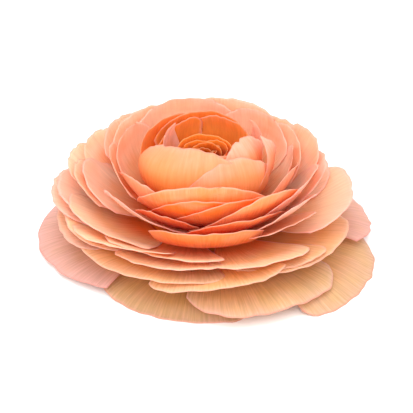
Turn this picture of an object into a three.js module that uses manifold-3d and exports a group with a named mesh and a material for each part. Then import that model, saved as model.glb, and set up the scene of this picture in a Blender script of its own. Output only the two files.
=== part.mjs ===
// A double ranunculus bloom, fully open, lying face up on its drooping outer petals.
// Millimetres, +Z up, the front of the bloom at -Y, the surface it lies on at z = 0.
import * as THREE from "three";
import { mergeVertices } from "three/addons/utils/BufferGeometryUtils.js";
import Module from "manifold-3d";

const wasm = await Module();
wasm.setup();

const DEG = Math.PI / 180;

// Driving dimensions
const RIM_THICKNESS = 0.62;         // petal at its rim
const CLAW_THICKNESS = 0.66;        // petal where it grows out of its whorl's ring
const CLAW_SHARE = 0.66;            // width angle of a petal's claw as a share of its full width
const RIM_WAVE = 0.35;              // depth of the waves along a petal's rim
const WAVE_COUNTS = [4.3, 9.7];     // how fast the two waves run across a petal, radians a half
const WAVE_STEPS = [2.4, 3.9];      // their phase steps from one petal to the next
const BASE = { level: 0.5, thickness: 1.2 }; // the cupped base that a whorl's petals grow out of
const BASE_END = 0.3;               // how far along the midrib curve that base reaches
const CLAW_START = 0.27;            // where along the curve a petal starts, sunk in the base
const BASE_SIDES = 12;
const STEM_RADIUS = 2.6;
const STEM_CUT = 0.5;               // height of the short stem's cut end above the surface
const RECEPTACLE_TOP = 19.3;
const SEPAL_COUNT = 5;
const SEPAL_THICKNESS = 0.8;
const SEAT_GAP = 0.3;               // between two nodes that sit on each other
const CARPEL_RADIUS = 1.3;
const CARPEL_SIDES = 8;
const SCRAP_VOLUME = 1;             // cubic millimetres

// Boundaries between the whorls, from the heart to the outside: each is a cubic curve in
// [radius, height] from the receptacle to the rim. A whorl's petals lie between two of them.
const BOUNDARIES = [
  [[0.9, 20.6], [2.0, 23.0], [1.5, 30.0], [0.8, 33.0]],
  [[2.3, 18.4], [8.5, 20.0], [14.0, 30.5], [10.2, 36.8]],
  [[3.6, 16.0], [17.5, 17.0], [31.0, 32.0], [16.5, 41.0]],
  [[4.7, 13.6], [19.0, 13.8], [30.5, 24.5], [31.0, 35.5]],
  [[5.4, 11.3], [20.0, 11.4], [33.0, 14.5], [43.0, 26.0]],
  [[5.9, 9.1], [20.5, 9.2], [33.0, 12.2], [45.0, 16.0]],
  [[6.3, 6.9], [20.5, 7.0], [34.5, 10.4], [48.0, 8.0]],
  [[6.6, 4.7], [20.5, 4.7], [33.4, 4.6], [49.0, -3.8]],
];

// The petals of each whorl, with the number of faces across and along one of them. az is a
// petal's direction in degrees from the front, positive to the right, and half its half width.
// rim is the radius and height of its crest. drop is the share of its length lost at its left
// and right side, and round the power of that fall. crest is where across it the crest lies,
// cant lifts its right side and belly swells its middle, both in millimetres.
const PLAIN_PETAL = { drop: [0.3, 0.3], round: [3, 3], crest: 0, cant: 0, belly: 0 };

// Innermost petals, rolled tightly over the centre
const HEART = {
  name: "heart_petals", color: 0xf2862f, inside: 0, base: { level: 0.3, thickness: 2.6 }, faces: [5, 3], petals: [
    { az: -175, half: 96, rim: [7.6, 33.9], drop: [0.12, 0.12], round: [2, 2] },
    { az: -40, half: 90, rim: [6.9, 33.2], drop: [0.12, 0.12], round: [2, 2] },
    { az: 95, half: 92, rim: [6.3, 33.5], drop: [0.12, 0.12], round: [2, 2] },
    { az: -130, half: 92, rim: [5.6, 33.3], drop: [0.12, 0.12], round: [2, 2] },
    { az: 10, half: 90, rim: [4.9, 32.7], drop: [0.12, 0.12], round: [2, 2] },
    { az: 150, half: 92, rim: [4.2, 33], drop: [0.12, 0.12], round: [2, 2] },
    { az: -80, half: 90, rim: [3.5, 32.7], drop: [0.12, 0.12], round: [2, 2] },
    { az: 55, half: 90, rim: [2.8, 32.5], drop: [0.12, 0.12], round: [2, 2] },
    { az: -170, half: 90, rim: [2.1, 32.3], drop: [0.12, 0.12], round: [2, 2] },
  ],
};

// The closed cup round the hole
const CUP = {
  name: "cup_petals", color: 0xfab277, inside: 1, faces: [6, 3], petals: [
    { az: -38, half: 68, rim: [13.4, 39.4], drop: [0.24, 0.26], cant: 4, belly: 2.2 },
    { az: 26, half: 54, rim: [16.8, 38.2], drop: [0.45, 0.45], round: [2, 2.2], belly: 1.6 },
    { az: 55, half: 45, rim: [12, 39.8] },
    { az: 76, half: 34, rim: [16.2, 39.6], drop: [0.55, 0.55], round: [1.4, 1.4] },
    { az: 158, half: 44, rim: [13, 37.2] },
    { az: -175, half: 55, rim: [14.2, 37.9], drop: [0.25, 0.25] },
    { az: -132, half: 50, rim: [16.2, 37.4] },
    { az: -125, half: 25, rim: [10, 38.5], drop: [0.5, 0.5], round: [1.3, 1.3] },
    { az: 124, half: 16, rim: [15.6, 38.2], drop: [0.5, 0.5], round: [1.2, 1.2] },
    { az: -135, half: 42, rim: [12.1, 37.2], drop: [0.1, 0.4], round: [3, 1.6], crest: -0.6 },
    { az: 8, half: 50, rim: [12.2, 37.4] },
  ],
};

// Upright petals round the cup
const UPPER_BOWL = {
  name: "upper_bowl_petals", color: 0xf59a6c, inside: 2, faces: [5, 3], petals: [
    { az: -5, half: 54, rim: [26.3, 35.5], drop: [0.46, 0.34], round: [2.2, 2.4], crest: 0.1 },
    { az: -1, half: 46, rim: [27.9, 32], drop: [0.46, 0.35], round: [2, 2.2] },
    { az: 14, half: 46, rim: [29.1, 31.9], drop: [0.52, 0.3], round: [1.6, 3] },
    { az: -50, half: 36, rim: [25.3, 32], drop: [0.25, 0.2], round: [2.4, 2.4] },
    { az: 60, half: 34, rim: [27.4, 33.5], drop: [0.5, 0.3], round: [1.6, 2.5] },
    { az: 82, half: 32, rim: [25.4, 34.6], drop: [0.4, 0.3], round: [1.8, 2.5] },
    { az: 110, half: 34, rim: [27.6, 34.2] },
    { az: 138, half: 34, rim: [24.5, 35.6], drop: [0.25, 0.25] },
    { az: 163, half: 36, rim: [28, 35.9], drop: [0.2, 0.2] },
    { az: -165, half: 36, rim: [25.6, 36.8], drop: [0.2, 0.2] },
    { az: -137, half: 34, rim: [28.9, 34.9], drop: [0.25, 0.25] },
    { az: -112, half: 34, rim: [24.7, 34.8] },
    { az: -88, half: 30, rim: [27.4, 33.4] },
  ],
};

// Leaning petals of the bowl's side
const LOWER_BOWL = {
  name: "lower_bowl_petals", color: 0xf4976f, inside: 3, faces: [5, 3], petals: [
    { az: 30, half: 42, rim: [32.2, 33.2], drop: [0.52, 0.3], round: [1.5, 2.5] },
    { az: -28, half: 24, rim: [28.8, 26.5], drop: [0.25, 0.25] },
    { az: 1, half: 34, rim: [33.9, 25], drop: [0.2, 0.2], round: [3.5, 4], crest: -0.1, belly: 2.4 },
    { az: 50, half: 26, rim: [36.2, 23.1], drop: [0.25, 0.35], round: [3, 4], cant: -1.5 },
    { az: 20, half: 34, rim: [32.7, 27.6], drop: [0.3, 0.25], round: [2.4, 3], cant: 0.4 },
    { az: 62, half: 36, rim: [33.7, 32.7], drop: [0.32, 0.25], round: [2, 2.5] },
    { az: 50, half: 27, rim: [36.4, 29.4], drop: [0.32, 0.3], round: [1.8, 2.5] },
    { az: 92, half: 26, rim: [35.1, 29.4] },
    { az: 113, half: 26, rim: [33.9, 32.1], drop: [0.22, 0.22] },
    { az: 137, half: 28, rim: [34.9, 29.7], drop: [0.25, 0.25] },
    { az: 166, half: 30, rim: [32.7, 31.2], drop: [0.2, 0.2], round: [4, 4] },
    { az: -161, half: 32, rim: [35, 29.2], drop: [0.15, 0.15], round: [4, 4] },
    { az: -132, half: 24, rim: [33.6, 32.3], drop: [0.2, 0.2] },
    { az: -117, half: 20, rim: [37.8, 29.2], drop: [0.2, 0.2] },
    { az: -106, half: 20, rim: [41, 27], drop: [0.2, 0.2] },
    { az: -92, half: 20, rim: [38.2, 26.7], drop: [0.25, 0.25] },
    { az: -88, half: 26, rim: [35.8, 27.6], drop: [0.25, 0.3], round: [3, 2] },
    { az: -38, half: 27, rim: [33, 29.4], drop: [0.1, 0.5], round: [4, 1.6], crest: -0.6 },
  ],
};

// Petals that lie out over the low ones
const SPREADING = {
  name: "spreading_petals", color: 0xf6a37a, inside: 4, faces: [5, 3], petals: [
    { az: -45, half: 30, rim: [42.6, 19.9], drop: [0.12, 0.12], round: [4, 4], cant: 3.5 },
    { az: -22, half: 31, rim: [39.2, 19.4], drop: [0.12, 0.12], round: [5, 5] },
    { az: -18, half: 26, rim: [41, 17.1], drop: [0.12, 0.12], round: [5, 5], cant: 0.6 },
    { az: 27, half: 25, rim: [42.3, 17.6], drop: [0.2, 0.14], round: [4, 4], cant: -1.1 },
    { az: -72, half: 27, rim: [42.2, 16.2], drop: [0.2, 0.2] },
    { az: -60, half: 31, rim: [40.6, 21.4], drop: [0.1, 0.26], round: [3, 1.8], crest: -0.4, cant: 0.8 },
    { az: -94, half: 24, rim: [45.4, 19.6], drop: [0.25, 0.25] },
    { az: -90, half: 22, rim: [43.4, 22.1], drop: [0.25, 0.25], crest: -0.3 },
    { az: 88, half: 30, rim: [43.5, 20.8], drop: [0.22, 0.2], round: [2.2, 5] },
    { az: 122, half: 28, rim: [40, 21], drop: [0.25, 0.25] },
    { az: 158, half: 34, rim: [40.4, 19.1], drop: [0.25, 0.25] },
    { az: -160, half: 34, rim: [40, 21], drop: [0.25, 0.25] },
    { az: -125, half: 30, rim: [40.4, 18.7], drop: [0.25, 0.25] },
  ],
};

// Nearly level petals
const LOW = {
  name: "low_petals", color: 0xf5a874, inside: 5, faces: [5, 3], petals: [
    { az: -28, half: 37, rim: [42.6, 13.1], drop: [0.08, 0.12], round: [5, 5], cant: 0.6 },
    { az: 5, half: 29, rim: [44.8, 13.3], drop: [0.15, 0.1], round: [5, 5], cant: 2.4 },
    { az: 36, half: 21, rim: [43.4, 14.4], drop: [0.25, 0.06], round: [1.5, 4], crest: 0.6 },
    { az: 60, half: 35, rim: [43.6, 12.8], drop: [0.12, 0.15], round: [4, 4], cant: -1.2 },
    { az: -79, half: 24, rim: [43.9, 13.3], drop: [0.15, 0.15], round: [4, 4] },
    { az: 118, half: 36, rim: [44.1, 11.8] },
    { az: 165, half: 36, rim: [42.8, 13.4] },
    { az: -150, half: 36, rim: [44.1, 11.8] },
    { az: -112, half: 34, rim: [45.1, 10.2] },
  ],
};

// Drooping outer petals that rest on the surface
const SKIRT = {
  name: "skirt_petals", color: 0xf0ac7c, inside: 6, faces: [6, 3], petals: [
    { az: -92, half: 47, rim: [51, 1.6], drop: [0.2, 0.24], round: [3, 1.6], crest: -0.2, cant: -1.4 },
    { az: -18, half: 36, rim: [42.8, 0], drop: [0.12, 0.06], round: [2.4, 6], crest: 0.6 },
    { az: 27, half: 35, rim: [47.6, 4.6], drop: [0.22, 0.16], round: [5, 3], crest: 0.4 },
    { az: 66, half: 30, rim: [52.2, 0.2], drop: [0.1, 0.14], round: [6, 4], crest: -0.3 },
    { az: 110, half: 27, rim: [51.3, 4], drop: [0.13, 0.13] },
    { az: 150, half: 34, rim: [49, 0.1], drop: [0.2, 0.2] },
    { az: -168, half: 34, rim: [49, 3], drop: [0.2, 0.2] },
    { az: -134, half: 32, rim: [49.2, 0], drop: [0.2, 0.2] },
  ],
};

const WHORLS = [HEART, CUP, UPPER_BOWL, LOWER_BOWL, SPREADING, LOW, SKIRT];

const mix = (a, b, share) => a + (b - a) * share;

// The point and the slope of a cubic curve in [radius, height]
function curveAt(controls, t) {
  const s = 1 - t;
  const weights = [s * s * s, 3 * s * s * t, 3 * s * t * t, t * t * t];
  const rates = [-3 * s * s, 3 * s * s - 6 * s * t, 6 * s * t - 3 * t * t, 3 * t * t];
  const sum = (factors, axis) => factors.reduce((total, f, i) => total + f * controls[i][axis], 0);
  return { r: sum(weights, 0), z: sum(weights, 1), dr: sum(rates, 0), dz: sum(rates, 1) };
}

// A whorl's midrib curve at a level between its inner (0) and its outer (1) boundary. All of a
// whorl's petals start at one root, half way between the boundaries.
function midrib(inside, level) {
  const shares = [0.5, level, level, level];
  return BOUNDARIES[inside].map((point, i) =>
    point.map((value, axis) => mix(value, BOUNDARIES[inside + 1][i][axis], shares[i])));
}

// The level and the length along its curve that bring a petal's crest to its rim point
function settle(inside, rim) {
  const step = 1e-4;
  let level = 0.5;
  let reach = 1;
  for (let round = 0; round < 40; round++) {
    const miss = (l, t) => {
      const p = curveAt(midrib(inside, l), t);
      return [p.r - rim[0], p.z - rim[1]];
    };
    const here = miss(level, reach);
    const a = miss(level + step, reach).map((v, i) => (v - here[i]) / step);
    const b = miss(level, reach + step).map((v, i) => (v - here[i]) / step);
    const area = a[0] * b[1] - a[1] * b[0];
    level -= THREE.MathUtils.clamp((here[0] * b[1] - here[1] * b[0]) / area, -0.2, 0.2);
    reach -= THREE.MathUtils.clamp((a[0] * here[1] - a[1] * here[0]) / area, -0.2, 0.2);
  }
  return { level, reach };
}

// The share of a petal's length that is left at u, from -1 at its left side to 1 at its right
function outline(petal, u) {
  const left = THREE.MathUtils.clamp((petal.crest - u) / (1 + petal.crest), 0, 1);
  const right = THREE.MathUtils.clamp((u - petal.crest) / (1 - petal.crest), 0, 1);
  return 1 - petal.drop[0] * left ** petal.round[0] - petal.drop[1] * right ** petal.round[1];
}

// A point of a petal: u across it, v from its claw to its rim, side -1 or 1 for its two faces
function petalPoint(petal, inside, place, index, u, v, side) {
  const end = place.reach * outline(petal, u);
  const t = mix(CLAW_START, end, v);
  const curve = curveAt(midrib(inside, place.level), t);
  const slope = Math.hypot(curve.dr, curve.dz);
  const width = mix(CLAW_SHARE, 1, 1 - (1 - v) ** 2);
  const angle = (petal.az + petal.half * u * width) * DEG;
  const wave = 0.6 * Math.sin(WAVE_COUNTS[0] * u + WAVE_STEPS[0] * index)
    + 0.25 * Math.sin(WAVE_COUNTS[1] * u + WAVE_STEPS[1] * index);
  const thickness = mix(CLAW_THICKNESS, RIM_THICKNESS, v);
  const off = RIM_WAVE * wave * v ** 3 + petal.belly * Math.sin(Math.PI * v) + side * thickness / 2;
  const r = curve.r + off * curve.dz / slope;
  const z = curve.z - off * curve.dr / slope + petal.cant * u * v * v;
  return [r * Math.sin(angle), -r * Math.cos(angle), z];
}

// A thin closed blade: one grid of triangles for both faces, and a wall round its edge
function blade(across, along, pointAt) {
  const grid = new THREE.PlaneGeometry(2, 1, across, along);
  const flat = grid.getAttribute("position");
  const positions = [];
  for (const side of [1, -1]) {
    for (let i = 0; i < flat.count; i++) {
      positions.push(...pointAt(flat.getX(i), flat.getY(i) + 0.5, side));
    }
  }
  const face = Array.from(grid.index.array);
  const index = [...face];
  for (let i = 0; i < face.length; i += 3) {
    index.push(face[i] + flat.count, face[i + 2] + flat.count, face[i + 1] + flat.count);
  }
  const row = across + 1;
  const edge = [];
  for (let i = 0; i < across; i++) edge.push(i);
  for (let j = 0; j < along; j++) edge.push(j * row + across);
  for (let i = across; i > 0; i--) edge.push(along * row + i);
  for (let j = along; j > 0; j--) edge.push(j * row);
  edge.forEach((a, i) => {
    const b = edge[(i + 1) % edge.length];
    index.push(a, b, a + flat.count, b, b + flat.count, a + flat.count);
  });
  const geometry = new THREE.BufferGeometry();
  geometry.setAttribute("position", new THREE.Float32BufferAttribute(positions, 3));
  geometry.setIndex(index);
  return geometry;
}

// A geometry as a solid with its faces pointing out
function solid(geometry) {
  const bare = geometry.clone();
  bare.deleteAttribute("normal");
  bare.deleteAttribute("uv");
  const merged = mergeVertices(bare, 1e-4);
  const corners = Uint32Array.from(merged.index.array);
  const make = () => new wasm.Manifold(new wasm.Mesh({
    numProp: 3,
    vertProperties: Float32Array.from(merged.attributes.position.array),
    triVerts: corners,
  }));
  const made = make();
  if (made.volume() > 0) return made;
  for (let i = 0; i < corners.length; i += 3) {
    [corners[i + 1], corners[i + 2]] = [corners[i + 2], corners[i + 1]];
  }
  return make();
}

// The largest connected piece of a solid, without the small scraps that trimming can leave
function mainPiece(whole) {
  const pieces = whole.decompose().sort((a, b) => b.volume() - a.volume());
  if (pieces.slice(1).some((piece) => piece.volume() > SCRAP_VOLUME)) throw new Error("a petal is loose");
  return pieces[0];
}

function mesh(name, color, roughness, whole) {
  const found = whole.getMesh();
  const geometry = new THREE.BufferGeometry();
  geometry.setAttribute("position", new THREE.Float32BufferAttribute(found.vertProperties, 3));
  geometry.setIndex(Array.from(found.triVerts));
  geometry.computeVertexNormals();
  const made = new THREE.Mesh(geometry, new THREE.MeshStandardMaterial({ color, roughness, metalness: 0 }));
  made.name = name;
  return made;
}

// A closed profile of [radius, height] points turned about the upright axis
function turned(points, sides) {
  const profile = points.map(([r, z]) => new THREE.Vector2(r, z));
  const geometry = new THREE.LatheGeometry(profile, sides);
  geometry.rotateX(Math.PI / 2);
  return solid(geometry);
}

// The cupped base round the receptacle that a whorl's petals grow out of
function whorlBase(inside, { level, thickness }) {
  const controls = midrib(inside, level);
  const side = (t, sign) => {
    const curve = curveAt(controls, t);
    const slope = Math.hypot(curve.dr, curve.dz);
    const off = sign * thickness / 2;
    return [curve.r + off * curve.dz / slope, curve.z - off * curve.dr / slope];
  };
  const stations = [0, 0.15, BASE_END];
  const inner = stations.map((t) => side(t, -1));
  const outer = stations.map((t) => side(t, 1)).reverse();
  return turned([...outer, ...inner, outer[0]], BASE_SIDES);
}

function whorl({ name, color, inside, base = BASE, faces, petals }, firstIndex) {
  const blades = petals.map((row, i) => {
    const petal = { ...PLAIN_PETAL, ...row };
    const place = settle(inside, petal.rim);
    return solid(blade(faces[0], faces[1], (u, v, side) =>
      petalPoint(petal, inside, place, firstIndex + i, u, v, side)));
  });
  let joined = whorlBase(inside, base);
  for (const one of blades) joined = joined.add(one);
  return mesh(name, color, 0.6, mainPiece(joined.trimByPlane([0, 0, 1], 0)));
}

// A green sepal folded back under the bloom
const SEPAL_MIDRIB = [[3.4, 2.6], [8.5, 3.6], [14.0, 4.2], [17.5, 1.8]];

function sepal(azimuth) {
  return solid(blade(2, 4, (u, v, side) => {
    const curve = curveAt(SEPAL_MIDRIB, v * (1 - 0.22 * u * u));
    const slope = Math.hypot(curve.dr, curve.dz);
    const off = side * SEPAL_THICKNESS / 2;
    const r = curve.r + off * curve.dz / slope;
    const z = curve.z - off * curve.dr / slope - 0.5 * u * u * v;
    const across = u * (2.2 + 2.3 * Math.sin(Math.PI * v * 0.8));
    const angle = azimuth * DEG;
    return [
      r * Math.sin(angle) + across * Math.cos(angle),
      -r * Math.cos(angle) + across * Math.sin(angle),
      z,
    ];
  }));
}

function stemAndCalyx() {
  let whole = turned([
    [0, STEM_CUT],
    [STEM_RADIUS, STEM_CUT],
    [STEM_RADIUS, 1.6],
    [4.6, 2.8],
    [5.9, 4.2],
    [6.05, 5.2],
    [5.7, 7.4],
    [5.25, 9.6],
    [4.65, 11.8],
    [3.75, 14.2],
    [2.55, 16.6],
    [1.2, RECEPTACLE_TOP - 0.3],
    [0, RECEPTACLE_TOP],
  ], BASE_SIDES);
  for (let i = 0; i < SEPAL_COUNT; i++) {
    whole = whole.add(sepal(36 + i * 360 / SEPAL_COUNT));
  }
  return mesh("stem_and_calyx", 0x7f9a4a, 0.7, mainPiece(whole));
}

// The dark seed head deep in the heart
function carpelHead() {
  return mesh("carpel_head", 0x5a2c16, 0.8, turned([
    [0, RECEPTACLE_TOP + SEAT_GAP],
    [0.3, RECEPTACLE_TOP + SEAT_GAP],
    [0.35, 20.8],
    [0.9, 22.4],
    [CARPEL_RADIUS, 24.4],
    [CARPEL_RADIUS, 28.4],
    [0.9, 30.4],
    [0, 31.4],
  ], CARPEL_SIDES));
}

const group = new THREE.Group();
group.add(stemAndCalyx());
group.add(carpelHead());
let count = 0;
for (const one of WHORLS) {
  group.add(whorl(one, count));
  count += one.petals.length;
}

// The origin is on the surface, under the middle of the bloom's outline
const bounds = new THREE.Box3().setFromObject(group);
const middle = bounds.getCenter(new THREE.Vector3());
group.position.set(-middle.x, -middle.y, -bounds.min.z);

export default group;
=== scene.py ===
"""A cut double ranunculus bloom, fully open and lying face up on its drooping outer petals.

The bloom's layers follow the CAD model: each layer's petals lie between two boundary curves that
run from the receptacle to the rim. Sizes are in millimetres and become metres where a mesh is made.
"""
import logging
import math
from dataclasses import dataclass
from enum import Enum

import bmesh
import bpy
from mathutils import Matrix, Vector


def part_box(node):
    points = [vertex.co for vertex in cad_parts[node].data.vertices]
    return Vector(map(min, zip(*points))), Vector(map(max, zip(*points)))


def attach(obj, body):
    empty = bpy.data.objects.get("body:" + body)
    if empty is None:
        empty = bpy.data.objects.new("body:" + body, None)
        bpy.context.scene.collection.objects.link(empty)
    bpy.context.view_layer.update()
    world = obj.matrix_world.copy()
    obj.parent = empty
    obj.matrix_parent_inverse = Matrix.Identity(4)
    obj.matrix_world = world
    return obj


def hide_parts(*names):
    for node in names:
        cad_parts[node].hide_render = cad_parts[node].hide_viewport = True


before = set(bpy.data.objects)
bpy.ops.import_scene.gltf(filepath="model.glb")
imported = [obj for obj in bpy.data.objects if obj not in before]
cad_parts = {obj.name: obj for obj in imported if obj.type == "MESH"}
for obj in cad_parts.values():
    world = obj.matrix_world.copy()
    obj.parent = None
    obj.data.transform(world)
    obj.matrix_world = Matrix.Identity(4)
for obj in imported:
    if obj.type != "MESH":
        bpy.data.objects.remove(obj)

LOG = logging.getLogger("ranunculus")
MM = 0.001

# The camera, matched to the photograph
CAMERA_DISTANCE = 700.0
CAMERA_ELEVATION = 30.0
CAMERA_AIM = (0.45, 0.0, 13.9)      # from the bloom's axis at the surface
VIEW_WIDTH = 122.8                  # seen across the image at the aim
SENSOR = 36.0

# How a petal is made
ACROSS = 48                         # faces across a petal
ALONG = 30                          # faces along it
PETAL_THICKNESS = 0.2
CLAW_START = 0.27                   # where along its curve a petal leaves its layer's base
CLAW_SHARE = 0.66                   # width angle of the claw as a share of the full width
FLOOR_REST = 0.3                    # height of a resting petal's middle over the surface
FLOOR_EASE = 0.5                    # how softly a petal bends where it meets the surface
WELD = 0.002                        # points closer than this are one point

# How uneven a rim is. The higher a power, the closer to the rim the unevenness stays
RIM_WAVE = 0.35                     # height of its slow waves
WAVE_POWER = 3
RIM_FRILL = 0.08                    # height of its small ruffles
FRILL_POWER = 9
RIM_ROLL = 0.5                      # how far it turns outward
ROLL_POWER = 14
RIM_NOTCH = 0.006                   # depth of its notches as a share of the petal's length
NOTCH_LEAST = 0.4                   # share of that depth where the rim is calm
CALM_COUNT = 2.9                    # how close together the calm stretches lie
CALM_STEP = 1.3                     # how they shift from one petal to the next

# The petals' pattern, laid out in millimetres over each petal
CURVE_LENGTH = 55.0                 # a midrib's, from the receptacle to the rim
PATTERN_STEP = 7.3                  # moves the pattern from one petal to the next
VEIN_STRETCH = (1.5, 0.07, 1.0)     # veins some 0.6 mm apart and 13 mm long
VEIN_SCALE = 1.1
FINE_STRETCH = (2.6, 0.12, 1.0)     # finer veins between them, some 0.4 mm apart
PATCH_SCALE = 0.11                  # patches some 9 mm wide
NOISE_SPAN = (0.3, 0.7)             # a noise texture varies mostly between these
RAMP_PLACES = (0.0, 0.42, 0.7, 0.9, 1.0)
DEEP_AND_SHADE_SHIFT = 0.5                    # how far a petal's deep value, partly painted shade, moves its colours
STREAK_SHIFT = 0.16                 # how much further they run along a vein
PATCH_SHIFT = 0.9                   # how much the blush varies from patch to patch
VEIN_LIGHT = (0.84, 1.07)           # lightness in and between the veins
FINE_LIGHT = (0.95, 1.03)
RIM_LINE = 0.9                      # width of the pinker line along a rim
RIM_LINE_SHARE = 0.55               # how much of its colour that line takes on
BASE_EDGE = 9.0                     # how far a layer's base counts as lying from the rims
VEIN_RELIEF = 0.2
FINE_RELIEF = 0.4                   # as a share of the veins' relief
VEIN_GLOSS = (0.08, -0.06)          # added to the roughness in and between the veins

# Boundaries between the layers, heart to outside: cubic curves in (radius, height)
BOUNDARIES = (
    ((0.9, 20.6), (2.0, 23.0), (1.5, 30.0), (0.8, 33.0)),
    ((2.3, 18.4), (8.5, 20.0), (14.0, 30.5), (10.2, 36.8)),
    ((3.6, 16.0), (17.5, 17.0), (31.0, 32.0), (16.5, 41.0)),
    ((4.7, 13.6), (19.0, 13.8), (30.5, 24.5), (31.0, 35.5)),
    ((5.4, 11.3), (20.0, 11.4), (33.0, 14.5), (43.0, 26.0)),
    ((5.9, 9.1), (20.5, 9.2), (33.0, 12.2), (45.0, 16.0)),
    ((6.3, 6.9), (20.5, 7.0), (34.5, 10.4), (48.0, 8.0)),
    ((6.6, 4.7), (20.5, 4.7), (33.4, 4.6), (49.0, -3.8)),
)

# The heart's base is a plug under its small petals
HEART_BASE_LEVEL = 0.3
HEART_BASE_THICKNESS = 2.4

Curve = tuple[tuple[float, float], ...]
Socket = bpy.types.NodeSocket


class Blend(Enum):
    """How the colours of a ramp pass into each other."""

    SOFT = "EASE"
    EVEN = "LINEAR"


def mix(low: float, high: float, share: float) -> float:
    """Returns the value at a share of the way from low to high."""
    return low + (high - low) * share


def clamp(value: float, low: float, high: float) -> float:
    """Returns value kept between low and high."""
    return max(low, min(high, value))


def linear(hex_colour: str) -> tuple[float, float, float, float]:
    """Turns an sRGB hex colour into linear light.

    Args:
        hex_colour: Six hex digits, red, green and blue.

    Returns:
        The linear red, green, blue and an alpha of 1.
    """
    shares = [int(hex_colour[i:i + 2], 16) / 255 for i in (0, 2, 4)]
    light = [s / 12.92 if s <= 0.04045 else ((s + 0.055) / 1.055) ** 2.4 for s in shares]
    return (*light, 1.0)


def curve_at(controls: Curve, t: float) -> tuple[float, float, float, float]:
    """Gives the point and the slope of a cubic curve.

    Args:
        controls: Four points in (radius, height).
        t: The place along the curve, from 0 to 1 or a little past it.

    Returns:
        Radius, height and their rates of change.
    """
    s = 1 - t
    weights = (s * s * s, 3 * s * s * t, 3 * s * t * t, t * t * t)
    rates = (-3 * s * s, 3 * s * s - 6 * s * t, 6 * s * t - 3 * t * t, 3 * t * t)
    point = [sum(w * c[axis] for w, c in zip(weights, controls)) for axis in (0, 1)]
    slope = [sum(w * c[axis] for w, c in zip(rates, controls)) for axis in (0, 1)]
    return point[0], point[1], slope[0], slope[1]


def midrib(inside: int, level: float) -> Curve:
    """Gives the midrib curve of a layer at a level.

    Args:
        inside: The index of the layer's inner boundary.
        level: 0 at the inner boundary, 1 at the outer one.

    Returns:
        Four control points. All of a layer's petals share one root.
    """
    shares = (0.5, level, level, level)
    pairs = zip(BOUNDARIES[inside], BOUNDARIES[inside + 1], shares)
    return tuple((mix(a[0], b[0], s), mix(a[1], b[1], s)) for a, b, s in pairs)


def settle(inside: int, rim: tuple[float, float]) -> tuple[float, float]:
    """Finds the level and the length that bring a petal's crest to its rim point.

    Args:
        inside: The index of the layer's inner boundary.
        rim: Radius and height of the crest.

    Returns:
        The level between the boundaries and the reach along the curve.
    """
    step = 1e-4
    stride = 0.2
    rounds = 40
    level, reach = 0.5, 1.0

    def miss(at_level: float, at_reach: float) -> tuple[float, float]:
        """Returns how far the curve's end is from the rim point."""
        r, z, _, _ = curve_at(midrib(inside, at_level), at_reach)
        return r - rim[0], z - rim[1]

    for _ in range(rounds):
        here = miss(level, reach)
        a = [(v - h) / step for v, h in zip(miss(level + step, reach), here)]
        b = [(v - h) / step for v, h in zip(miss(level, reach + step), here)]
        area = a[0] * b[1] - a[1] * b[0]
        level -= clamp((here[0] * b[1] - here[1] * b[0]) / area, -stride, stride)
        reach -= clamp((a[0] * here[1] - a[1] * here[0]) / area, -stride, stride)
    return level, reach


def above_floor(height: float) -> float:
    """Returns a height kept over the surface, so that a drooping petal bends softly onto it."""
    over = height - FLOOR_REST
    ease = FLOOR_EASE * FLOOR_EASE / 4 / (abs(over) + FLOOR_EASE)
    return FLOOR_REST + (over + math.hypot(over, FLOOR_EASE)) / 2 - ease


@dataclass(frozen=True)
class Ripple:
    """Two sine waves across a petal, which shift from one petal to the next."""

    counts: tuple[float, float]
    steps: tuple[float, float]
    sizes: tuple[float, float]

    def at(self, u: float, index: int) -> float:
        """Gives the ripple's height.

        Args:
            u: The place across the petal, -1 at its left side and 1 at its right.
            index: The petal's number in the whole bloom.

        Returns:
            The height, as a share of what the ripple is used for.
        """
        waves = zip(self.sizes, self.counts, self.steps)
        return sum(size * math.sin(count * u + step * index) for size, count, step in waves)


WAVES = Ripple(counts=(4.3, 9.7), steps=(2.4, 3.9), sizes=(0.6, 0.25))
RUFFLES = Ripple(counts=(15, 27), steps=(1.7, 5.1), sizes=(1.0, 0.6))
NOTCHES = Ripple(counts=(17, 31), steps=(2.3, 4.1), sizes=(1.0, 0.7))


@dataclass(frozen=True)
class Petal:
    """One petal: where it stands, its outline and its tint.

    az is its direction in degrees from the front, positive to the right, and half its half width.
    rim is the radius and height of its crest. drop is the share of its length lost at its left and
    right side, and fall the power of that loss. crest is where across it the crest lies. cant lifts
    its right side and belly swells its middle, in millimetres. blush runs from 0, warm peach, to 1,
    pink. deep says how far up the deep colour of the claw reaches; it is partly the petal's own
    colour and partly painted shade, raised where a petal lies in shade.
    """

    az: float
    half: float
    rim: tuple[float, float]
    drop: tuple[float, float] = (0.3, 0.3)
    fall: tuple[float, float] = (3.0, 3.0)
    crest: float = 0.0
    cant: float = 0.0
    belly: float = 0.0
    blush: float = 0.5
    deep: float = 0.5

    def outline(self, u: float, index: int) -> float:
        """Gives the share of the petal's length that is left at u.

        Args:
            u: The place across the petal, -1 at its left side and 1 at its right.
            index: Its number in the whole bloom, which sets how uneven its rim is.

        Returns:
            The share, with the small unevenness of a grown rim.
        """
        left = clamp((self.crest - u) / (1 + self.crest), 0, 1)
        right = clamp((u - self.crest) / (1 - self.crest), 0, 1)
        rough = math.sin(CALM_COUNT * u + CALM_STEP * index) ** 2
        notch = NOTCHES.at(u, index) * mix(NOTCH_LEAST, 1.0, rough)
        lost = self.drop[0] * left ** self.fall[0] + self.drop[1] * right ** self.fall[1]
        return 1 - lost + RIM_NOTCH * notch


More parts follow.
